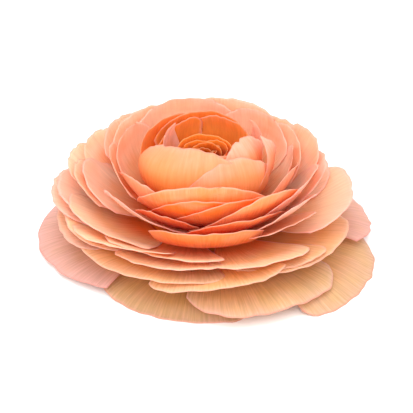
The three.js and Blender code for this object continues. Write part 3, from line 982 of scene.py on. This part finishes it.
def layers() -> list[Layer]:
    """Gives the bloom's layers, from the heart to the outside.

    Returns:
        The layers, with each petal's number counted on from the layer before.
    """
    # A petal's deep value is raised where it lies in shade, which paints that shade as deeper orange
    heart = tuple(
        Petal(az, half, rim, drop=(0.12, 0.12), fall=(2.0, 2.0), deep=deep)
        for az, half, rim, deep in (
            # deep rises towards the inner petals: painted shade deeper in the heart's hollow
            (-175, 96, (7.6, 33.9), 0.9),
            (-40, 90, (6.9, 33.2), 1.0),
            (95, 92, (6.3, 33.5), 1.0),
            (-130, 92, (5.6, 33.3), 1.1),
            (10, 90, (4.9, 32.7), 1.2),
            (150, 92, (4.2, 33.0), 1.3),
            (-80, 90, (3.5, 32.7), 1.4),
            (55, 90, (2.8, 32.5), 1.6),
            (-170, 90, (2.1, 32.3), 1.8)))
    cup = (
        Petal(-38, 68, (13.4, 39.4), drop=(0.24, 0.26), cant=4.0, belly=2.2, blush=0.1),
        Petal(26, 54, (16.8, 38.2), drop=(0.45, 0.45), fall=(2.0, 2.2), belly=1.6, blush=0.2),
        Petal(55, 45, (12.0, 39.8), blush=0.5),
        Petal(76, 34, (16.2, 39.6), drop=(0.55, 0.55), fall=(1.4, 1.4), blush=0.7),
        # These back petals, and the one at -135 below, wall the hollow: their higher deep values are
        # painted shade, deeper orange where they are shaded
        Petal(158, 44, (13.0, 37.2), blush=0.0, deep=1.3),
        Petal(-175, 55, (14.2, 37.9), drop=(0.25, 0.25), blush=0.0, deep=1.4),
        Petal(-132, 50, (16.2, 37.4), blush=0.1, deep=1.3),
        # The two pointed petals get no deep colour and the pale pink ramp: partly their own pale pink
        # and partly painted light against the shade that falls on them
        Petal(-125, 25, (10.0, 38.5), drop=(0.5, 0.5), fall=(1.3, 1.3), blush=0.6, deep=0.0),
        Petal(124, 16, (15.6, 38.2), drop=(0.5, 0.5), fall=(1.2, 1.2), blush=0.6, deep=0.0),
        Petal(-135, 42, (12.1, 37.2), drop=(0.1, 0.4), fall=(3.0, 1.6), crest=-0.6, blush=0.0,
              deep=1.5),
        Petal(8, 50, (12.2, 37.4), blush=0.1),
    )
    upper = (
        Petal(-5, 54, (26.3, 35.5), drop=(0.46, 0.34), fall=(2.2, 2.4), crest=0.1, blush=0.1),
        Petal(-1, 46, (27.9, 32.0), drop=(0.46, 0.35), fall=(2.0, 2.2), blush=0.1, deep=1.0),
        Petal(14, 46, (29.1, 31.9), drop=(0.52, 0.3), fall=(1.6, 3.0), blush=0.1, deep=0.9),
        Petal(-50, 36, (25.3, 32.0), drop=(0.25, 0.2), fall=(2.4, 2.4)),
        Petal(60, 34, (27.4, 33.5), drop=(0.5, 0.3), fall=(1.6, 2.5), blush=0.7, deep=0.3),
        Petal(82, 32, (25.4, 34.6), drop=(0.4, 0.3), fall=(1.8, 2.5), blush=0.9, deep=0.3),
        Petal(110, 34, (27.6, 34.2), blush=0.85),
        Petal(138, 34, (24.5, 35.6), drop=(0.25, 0.25), blush=0.85),
        Petal(163, 36, (28.0, 35.9), drop=(0.2, 0.2), blush=0.8),
        Petal(-165, 36, (25.6, 36.8), drop=(0.2, 0.2), blush=0.85),
        Petal(-137, 34, (28.9, 34.9), drop=(0.25, 0.25), blush=0.8),
        Petal(-112, 34, (24.7, 34.8), blush=0.8),
        Petal(-88, 30, (27.4, 33.4), blush=0.8),
    )
    lower = (
        Petal(30, 42, (32.2, 33.2), drop=(0.52, 0.3), fall=(1.5, 2.5), blush=0.1, deep=0.9),
        Petal(-28, 24, (28.8, 26.5), drop=(0.25, 0.25), blush=0.1, deep=1.3),
        Petal(1, 34, (33.9, 25.0), drop=(0.2, 0.2), fall=(3.5, 4.0), crest=-0.1, belly=2.4,
              blush=0.1, deep=1.0),
        Petal(50, 26, (36.2, 23.1), drop=(0.25, 0.35), fall=(3.0, 4.0), cant=-1.5),
        Petal(20, 34, (32.7, 27.6), drop=(0.3, 0.25), fall=(2.4, 3.0), cant=0.4, blush=0.1, deep=1.3),
        Petal(62, 36, (33.7, 32.7), drop=(0.32, 0.25), fall=(2.0, 2.5), blush=0.8, deep=0.3),
        Petal(50, 27, (36.4, 29.4), drop=(0.32, 0.3), fall=(1.8, 2.5), blush=0.8, deep=0.3),
        Petal(92, 26, (35.1, 29.4), blush=0.8, deep=0.3),
        Petal(113, 26, (33.9, 32.1), drop=(0.22, 0.22), blush=0.7),
        Petal(137, 28, (34.9, 29.7), drop=(0.25, 0.25)),
        Petal(166, 30, (32.7, 31.2), drop=(0.2, 0.2), fall=(4.0, 4.0)),
        Petal(-161, 32, (35.0, 29.2), drop=(0.15, 0.15), fall=(4.0, 4.0)),
        Petal(-132, 24, (33.6, 32.3), drop=(0.2, 0.2), blush=0.7),
        Petal(-117, 20, (37.8, 29.2), drop=(0.2, 0.2), blush=0.8, deep=0.9),
        Petal(-106, 20, (41.0, 27.0), drop=(0.2, 0.2), blush=0.8, deep=1.0),
        Petal(-92, 20, (38.2, 26.7), drop=(0.25, 0.25), blush=0.8, deep=1.0),
        Petal(-88, 26, (35.8, 27.6), drop=(0.25, 0.3), fall=(3.0, 2.0), blush=0.8),
        Petal(-38, 27, (33.0, 29.4), drop=(0.1, 0.5), fall=(4.0, 1.6), crest=-0.6, blush=1.0, deep=0.2),
    )
    spreading = (
        Petal(-45, 30, (42.6, 19.9), drop=(0.12, 0.12), fall=(4.0, 4.0), cant=3.5, blush=0.6, deep=1.0),
        Petal(-22, 31, (39.2, 19.4), drop=(0.12, 0.12), fall=(5.0, 5.0), deep=1.1),
        Petal(-18, 26, (41.0, 17.1), drop=(0.12, 0.12), fall=(5.0, 5.0), cant=0.6, deep=0.9),
        Petal(27, 25, (42.3, 17.6), drop=(0.2, 0.14), fall=(4.0, 4.0), cant=-1.1, blush=0.3, deep=0.9),
        Petal(-72, 27, (42.2, 16.2), drop=(0.2, 0.2), blush=0.5, deep=1.1),
        Petal(-60, 31, (40.6, 21.4), drop=(0.1, 0.26), fall=(3.0, 1.8), crest=-0.4, cant=0.8,
              blush=0.6, deep=0.8),
        Petal(-94, 24, (45.4, 19.6), drop=(0.25, 0.25), blush=0.8),
        Petal(-90, 22, (43.4, 22.1), drop=(0.25, 0.25), crest=-0.3, blush=0.9),
        Petal(88, 30, (43.5, 20.8), drop=(0.22, 0.2), fall=(2.2, 5.0), blush=0.6),
        Petal(122, 28, (40.0, 21.0), drop=(0.25, 0.25)),
        Petal(158, 34, (40.4, 19.1), drop=(0.25, 0.25)),
        Petal(-160, 34, (40.0, 21.0), drop=(0.25, 0.25)),
        Petal(-125, 30, (40.4, 18.7), drop=(0.25, 0.25)),
    )
    low = (
        Petal(-28, 37, (42.6, 13.1), drop=(0.08, 0.12), fall=(5.0, 5.0), cant=0.6, blush=0.3),
        Petal(5, 29, (44.8, 13.3), drop=(0.15, 0.1), fall=(5.0, 5.0), cant=2.4, blush=0.2),
        Petal(36, 21, (43.4, 14.4), drop=(0.25, 0.06), fall=(1.5, 4.0), crest=0.6, blush=0.3),
        Petal(60, 35, (43.6, 12.8), drop=(0.12, 0.15), fall=(4.0, 4.0), cant=-1.2, blush=0.3),
        Petal(-79, 24, (43.9, 13.3), drop=(0.15, 0.15), fall=(4.0, 4.0), blush=0.7),
        Petal(118, 36, (44.1, 11.8)),
        Petal(165, 36, (42.8, 13.4)),
        Petal(-150, 36, (44.1, 11.8)),
        Petal(-112, 34, (45.1, 10.2)),
    )
    skirt = (
        Petal(-92, 47, (51.0, 1.6), drop=(0.2, 0.24), fall=(3.0, 1.6), crest=-0.2, cant=-1.4, blush=1.0),
        Petal(-18, 36, (42.8, 0.0), drop=(0.12, 0.06), fall=(2.4, 6.0), crest=0.6, blush=0.1),
        Petal(27, 35, (47.6, 4.6), drop=(0.22, 0.16), fall=(5.0, 3.0), crest=0.4, blush=0.2),
        Petal(66, 30, (52.2, 0.2), drop=(0.1, 0.14), fall=(6.0, 4.0), crest=-0.3, blush=0.2),
        Petal(110, 27, (51.3, 4.0), drop=(0.13, 0.13), blush=0.9),
        Petal(150, 34, (49.0, 0.1), drop=(0.2, 0.2)),
        Petal(-168, 34, (49.0, 3.0), drop=(0.2, 0.2)),
        Petal(-134, 32, (49.2, 0.0), drop=(0.2, 0.2)),
    )
    made = []
    count = 0
    for inside, (node, finish, petals) in enumerate((
            ("heart_petals", HEART_FINISH, heart),
            ("cup_petals", CUP_FINISH, cup),
            ("upper_bowl_petals", UPPER_FINISH, upper),
            ("lower_bowl_petals", LOWER_FINISH, lower),
            ("spreading_petals", SPREADING_FINISH, spreading),
            ("low_petals", LOW_FINISH, low),
            ("skirt_petals", SKIRT_FINISH, skirt))):
        made.append(Layer(node, inside, count, finish, petals))
        count += len(petals)
    made[0].base_level = HEART_BASE_LEVEL
    made[0].base_thickness = HEART_BASE_THICKNESS
    return made


def bloom_axis() -> Vector:
    """Finds the bloom's axis at the surface: the seed head is round about it."""
    low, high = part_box("carpel_head")
    return Vector(((low[0] + high[0]) / 2, (low[1] + high[1]) / 2, 0.0))


def main() -> None:
    """Builds the bloom and its studio."""
    logging.basicConfig(level=logging.INFO, format="%(name)s: %(message)s")
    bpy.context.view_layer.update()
    axis = bloom_axis()
    Studio().build(axis)
    for layer in layers():
        made = layer.build(axis)
        LOG.info("%s: %d petals, %d faces", made.name, len(layer.petals), len(made.data.polygons))
    for part in (Calyx(), SeedHead()):
        made = part.build(axis)
        LOG.info("%s: %d faces", made.name, len(made.data.polygons))


if __name__ == "__main__":
    main()
